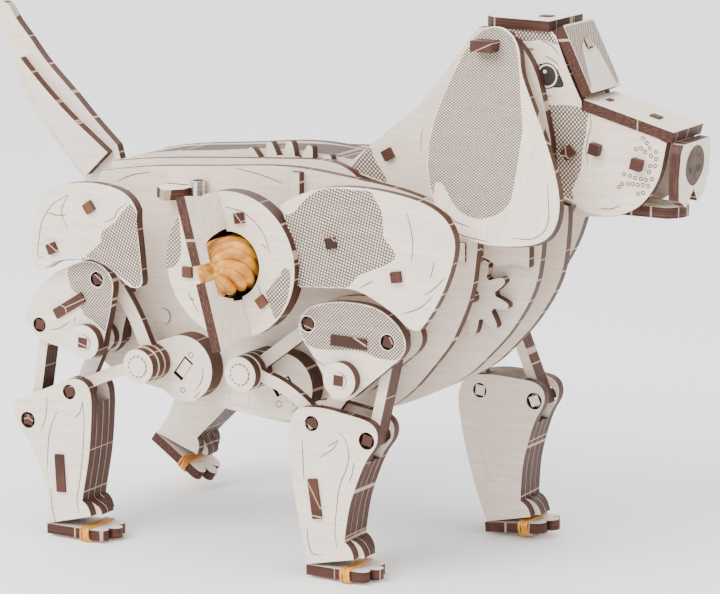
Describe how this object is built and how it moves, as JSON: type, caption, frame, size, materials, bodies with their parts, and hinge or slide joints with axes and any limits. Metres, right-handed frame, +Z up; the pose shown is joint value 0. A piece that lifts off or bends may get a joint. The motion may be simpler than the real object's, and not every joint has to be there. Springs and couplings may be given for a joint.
{
  "type": "rubber-powered walking dog kit",
  "caption": "Laser-cut plywood walking puppy driven by a wound amber rubber skein: crank gears, linkage legs with toed paws, a winding wheel on its flank, floppy ears and a raised tail.",
  "frame": {"origin": "centre of the model's box on the plane that its standing paws rest on", "axes": "+X is the way the dog faces and walks, +Y is its left, +Z is up"},
  "size_m": [0.3022, 0.1402, 0.2094],
  "materials": {
    "birch_ply": "satin",
    "amber_rubber": "satin",
    "plated_steel": "satin"
  },
  "bodies": {
    "trunk": {"side_panel_right": "birch_ply", "side_panel_left": "birch_ply", "frame_plates": "birch_ply", "neck_plates": "birch_ply", "head_plates": "birch_ply", "trunk_braces": "birch_ply", "shoulder_covers": "birch_ply", "hip_covers": "birch_ply", "leg_pivots": "birch_ply", "lock_keys": "birch_ply", "ears": "birch_ply", "skull_cap": "birch_ply", "brow_plate": "birch_ply", "muzzle_bridge": "birch_ply", "nose_plate": "birch_ply", "jaw": "birch_ply", "tail": "birch_ply", "steel_clip": "plated_steel"},
    "slider": {"release_slider": "birch_ply"},
    "winder": {"winding_wheel": "birch_ply", "winding_blade": "birch_ply", "rubber_skein": "amber_rubber"},
    "drive": {"drive_gear": "birch_ply"},
    "front_crank": {"front_crankshaft": "birch_ply"},
    "rear_crank": {"rear_crankshaft": "birch_ply"},
    "crank_idler": {"crank_idler_gear": "birch_ply"},
    "chest_idler": {"chest_idler_gear": "birch_ply"},
    "chest_pinion": {"chest_gear": "birch_ply"},
    "rocker_front_right_body": {"rocker_front_right": "birch_ply"},
    "lever_front_right": {"knee_lever_front_right": "birch_ply"},
    "shank_front_right": {"lower_leg_front_right": "birch_ply", "paw_sole_front_right": "birch_ply", "paw_band_front_right": "amber_rubber"},
    "shin_front_right": {"shin_link_front_right": "birch_ply"},
    "uprod_front_right": {"upper_rod_front_right": "birch_ply"},
    "lorod_front_right": {"lower_rod_front_right": "birch_ply"},
    "rocker_rear_right_body": {"rocker_rear_right": "birch_ply"},
    "lever_rear_right": {"knee_lever_rear_right": "birch_ply"},
    "shank_rear_right": {"lower_leg_rear_right": "birch_ply", "paw_sole_rear_right": "birch_ply", "paw_band_rear_right": "amber_rubber"},
    "shin_rear_right": {"shin_link_rear_right": "birch_ply"},
    "uprod_rear_right": {"upper_rod_rear_right": "birch_ply"},
    "lorod_rear_right": {"lower_rod_rear_right": "birch_ply"},
    "rocker_front_left_body": {"rocker_front_left": "birch_ply"},
    "lever_front_left": {"knee_lever_front_left": "birch_ply"},
    "shank_front_left": {"lower_leg_front_left": "birch_ply", "paw_sole_front_left": "birch_ply", "paw_band_front_left": "amber_rubber"},
    "shin_front_left": {"shin_link_front_left": "birch_ply"},
    "uprod_front_left": {"upper_rod_front_left": "birch_ply"},
    "lorod_front_left": {"lower_rod_front_left": "birch_ply"},
    "rocker_rear_left_body": {"rocker_rear_left": "birch_ply"},
    "lever_rear_left": {"knee_lever_rear_left": "birch_ply"},
    "shank_rear_left": {"lower_leg_rear_left": "birch_ply", "paw_sole_rear_left": "birch_ply", "paw_band_rear_left": "amber_rubber"},
    "shin_rear_left": {"shin_link_rear_left": "birch_ply"},
    "uprod_rear_left": {"upper_rod_rear_left": "birch_ply"},
    "lorod_rear_left": {"lower_rod_rear_left": "birch_ply"}
  },
  "joints": [
    {"name": "walk_crank", "type": "hinge", "parent": "trunk", "child": "front_crank", "pos_m": [0.00185, 0.0119, 0.06855], "axis": [0, -1, 0], "range_deg": [-15, 15]},
    {"name": "rear_crank_turn", "type": "hinge", "parent": "trunk", "child": "rear_crank", "pos_m": [-0.04215, 0.0119, 0.07055], "axis": [0, -1, 0], "range_deg": [-15, 15]},
    {"name": "drive_gear_turn", "type": "hinge", "parent": "trunk", "child": "drive", "pos_m": [-0.00836, 0.0119, 0.1175], "axis": [0, -1, 0], "range_deg": [-5.32, 5.32]},
    {"name": "crank_idler_turn", "type": "hinge", "parent": "trunk", "child": "crank_idler", "pos_m": [-0.02046, 0.0119, 0.06292], "axis": [0, -1, 0], "range_deg": [-17.38, 17.38]},
    {"name": "chest_idler_turn", "type": "hinge", "parent": "trunk", "child": "chest_idler", "pos_m": [0.04414, 0.0119, 0.11295], "axis": [0, -1, 0], "range_deg": [-12.77, 12.77]},
    {"name": "chest_gear_turn", "type": "hinge", "parent": "trunk", "child": "chest_pinion", "pos_m": [0.07035, 0.0119, 0.10625], "axis": [0, -1, 0], "range_deg": [-15.5, 15.5]},
    {"name": "winding_turn", "type": "hinge", "parent": "trunk", "child": "winder", "pos_m": [-0.00836, 0.0119, 0.1175], "axis": [0, -1, 0], "continuous": true},
    {"name": "release_slide", "type": "slide", "parent": "trunk", "child": "slider", "axis": [0, -1, 0], "range_m": [0, 0.004]},
    {"name": "rocker_pivot_front_right", "type": "hinge", "parent": "trunk", "child": "rocker_front_right_body", "pos_m": [0.03585, -0.0316, 0.07815], "axis": [0, -1, 0], "range_deg": [-7.21, 7.21]},
    {"name": "lever_pivot_front_right", "type": "hinge", "parent": "trunk", "child": "lever_front_right", "pos_m": [0.03585, -0.0316, 0.07815], "axis": [0, -1, 0], "range_deg": [-0.58, 0.58]},
    {"name": "knee_front_right", "type": "hinge", "parent": "lever_front_right", "child": "shank_front_right", "pos_m": [0.02174, -0.0316, 0.05936], "axis": [0, -1, 0], "range_deg": [-4.58, 4.58]},
    {"name": "lower_rod_pivot_front_right", "type": "hinge", "parent": "lever_front_right", "child": "lorod_front_right", "pos_m": [0.02174, -0.0316, 0.05936], "axis": [0, -1, 0], "range_deg": [-6, 6]},
    {"name": "upper_rod_pivot_front_right", "type": "hinge", "parent": "rocker_front_right_body", "child": "uprod_front_right", "pos_m": [0.02009, -0.0316, 0.09678], "axis": [0, -1, 0], "range_deg": [-5.33, 5.33]},
    {"name": "shin_pivot_front_right", "type": "hinge", "parent": "rocker_front_right_body", "child": "shin_front_right", "pos_m": [0.05353, -0.0316, 0.09348], "axis": [0, -1, 0], "range_deg": [-4.17, 4.17]},
    {"name": "rocker_pivot_rear_right", "type": "hinge", "parent": "trunk", "child": "rocker_rear_right_body", "pos_m": [-0.07616, -0.0316, 0.08015], "axis": [0, -1, 0], "range_deg": [-9.87, 9.87]},
    {"name": "lever_pivot_rear_right", "type": "hinge", "parent": "trunk", "child": "lever_rear_right", "pos_m": [-0.07616, -0.0316, 0.08015], "axis": [0, -1, 0], "range_deg": [-6.3, 6.3]},
    {"name": "knee_rear_right", "type": "hinge", "parent": "lever_rear_right", "child": "shank_rear_right", "pos_m": [-0.08598, -0.0316, 0.0588], "axis": [0, -1, 0], "range_deg": [-5.05, 5.05]},
    {"name": "lower_rod_pivot_rear_right", "type": "hinge", "parent": "lever_rear_right", "child": "lorod_rear_right", "pos_m": [-0.08598, -0.0316, 0.0588], "axis": [0, -1, 0], "range_deg": [-1.9, 1.9]},
    {"name": "upper_rod_pivot_rear_right", "type": "hinge", "parent": "rocker_rear_right_body", "child": "uprod_rear_right", "pos_m": [-0.07259, -0.0316, 0.10429], "axis": [0, -1, 0], "range_deg": [-1.86, 1.86]},
    {"name": "shin_pivot_rear_right", "type": "hinge", "parent": "rocker_rear_right_body", "child": "shin_rear_right", "pos_m": [-0.09926, -0.0316, 0.08385], "axis": [0, -1, 0], "range_deg": [-1.9, 1.9]},
    {"name": "rocker_pivot_front_left", "type": "hinge", "parent": "trunk", "child": "rocker_front_left_body", "pos_m": [0.03585, 0.0554, 0.07815], "axis": [0, -1, 0], "range_deg": [-10.08, 10.08]},
    {"name": "lever_pivot_front_left", "type": "hinge", "parent": "trunk", "child": "lever_front_left", "pos_m": [0.03585, 0.0554, 0.07815], "axis": [0, -1, 0], "range_deg": [-3.37, 3.37]},
    {"name": "knee_front_left", "type": "hinge", "parent": "lever_front_left", "child": "shank_front_left", "pos_m": [0.04666, 0.0554, 0.05729], "axis": [0, -1, 0], "range_deg": [-14.26, 14.26]},
    {"name": "lower_rod_pivot_front_left", "type": "hinge", "parent": "lever_front_left", "child": "lorod_front_left", "pos_m": [0.04666, 0.0554, 0.05729], "axis": [0, -1, 0], "range_deg": [-7.24, 7.24]},
    {"name": "upper_rod_pivot_front_left", "type": "hinge", "parent": "rocker_front_left_body", "child": "uprod_front_left", "pos_m": [0.02212, 0.0554, 0.09833], "axis": [0, -1, 0], "range_deg": [-6.94, 6.94]},
    {"name": "shin_pivot_front_left", "type": "hinge", "parent": "rocker_front_left_body", "child": "shin_front_left", "pos_m": [0.05503, 0.0554, 0.09155], "axis": [0, -1, 0], "range_deg": [-7.71, 7.71]},
    {"name": "rocker_pivot_rear_left", "type": "hinge", "parent": "trunk", "child": "rocker_rear_left_body", "pos_m": [-0.07616, 0.0554, 0.08015], "axis": [0, -1, 0], "range_deg": [-4.84, 4.84]},
    {"name": "lever_pivot_rear_left", "type": "hinge", "parent": "trunk", "child": "lever_rear_left", "pos_m": [-0.07616, 0.0554, 0.08015], "axis": [0, -1, 0], "range_deg": [-3.44, 3.44]},
    {"name": "knee_rear_left", "type": "hinge", "parent": "lever_rear_left", "child": "shank_rear_left", "pos_m": [-0.06317, 0.0554, 0.06057], "axis": [0, -1, 0], "range_deg": [-1.02, 1.02]},
    {"name": "lower_rod_pivot_rear_left", "type": "hinge", "parent": "lever_rear_left", "child": "lorod_rear_left", "pos_m": [-0.06317, 0.0554, 0.06057], "axis": [0, -1, 0], "range_deg": [-1.46, 1.46]},
    {"name": "upper_rod_pivot_rear_left", "type": "hinge", "parent": "rocker_rear_left_body", "child": "uprod_rear_left", "pos_m": [-0.05634, 0.0554, 0.09439], "axis": [0, -1, 0], "range_deg": [-1.3, 1.3]},
    {"name": "shin_pivot_rear_left", "type": "hinge", "parent": "rocker_rear_left_body", "child": "shin_rear_left", "pos_m": [-0.08958, 0.0554, 0.09932], "axis": [0, -1, 0], "range_deg": [-1.01, 1.01]}
  ],
  "couplings": [
    {"joint": "rear_crank_turn", "follows": "walk_crank", "ratio": 1},
    {"joint": "drive_gear_turn", "follows": "walk_crank", "ratio": -0.32143},
    {"joint": "crank_idler_turn", "follows": "walk_crank", "ratio": -1.125},
    {"joint": "chest_idler_turn", "follows": "walk_crank", "ratio": 0.81818},
    {"joint": "chest_gear_turn", "follows": "walk_crank", "ratio": -1},
    {"joint": "rocker_pivot_front_right", "follows": "walk_crank", "ratio": 0.46097},
    {"joint": "lever_pivot_front_right", "follows": "walk_crank", "ratio": -0.01861},
    {"joint": "knee_front_right", "follows": "walk_crank", "ratio": 0.28521},
    {"joint": "lower_rod_pivot_front_right", "follows": "walk_crank", "ratio": 0.37994},
    {"joint": "upper_rod_pivot_front_right", "follows": "walk_crank", "ratio": -0.33557},
    {"joint": "shin_pivot_front_right", "follows": "walk_crank", "ratio": -0.25811},
    {"joint": "rocker_pivot_rear_right", "follows": "walk_crank", "ratio": -0.63771},
    {"joint": "lever_pivot_rear_right", "follows": "walk_crank", "ratio": -0.40031},
    {"joint": "knee_rear_right", "follows": "walk_crank", "ratio": -0.31652},
    {"joint": "lower_rod_pivot_rear_right", "follows": "walk_crank", "ratio": -0.10666},
    {"joint": "upper_rod_pivot_rear_right", "follows": "walk_crank", "ratio": 0.10422},
    {"joint": "shin_pivot_rear_right", "follows": "walk_crank", "ratio": 0.10675},
    {"joint": "rocker_pivot_front_left", "follows": "walk_crank", "ratio": -0.65214},
    {"joint": "lever_pivot_front_left", "follows": "walk_crank", "ratio": 0.20468},
    {"joint": "knee_front_left", "follows": "walk_crank", "ratio": -0.93076},
    {"joint": "lower_rod_pivot_front_left", "follows": "walk_crank", "ratio": -0.46272},
    {"joint": "upper_rod_pivot_front_left", "follows": "walk_crank", "ratio": 0.4427},
    {"joint": "shin_pivot_front_left", "follows": "walk_crank", "ratio": 0.49396},
    {"joint": "rocker_pivot_rear_left", "follows": "walk_crank", "ratio": 0.30266},
    {"joint": "lever_pivot_rear_left", "follows": "walk_crank", "ratio": 0.20903},
    {"joint": "knee_rear_left", "follows": "walk_crank", "ratio": 0.04834},
    {"joint": "lower_rod_pivot_rear_left", "follows": "walk_crank", "ratio": 0.07708},
    {"joint": "upper_rod_pivot_rear_left", "follows": "walk_crank", "ratio": -0.0664},
    {"joint": "shin_pivot_rear_left", "follows": "walk_crank", "ratio": -0.04755}
  ]
}
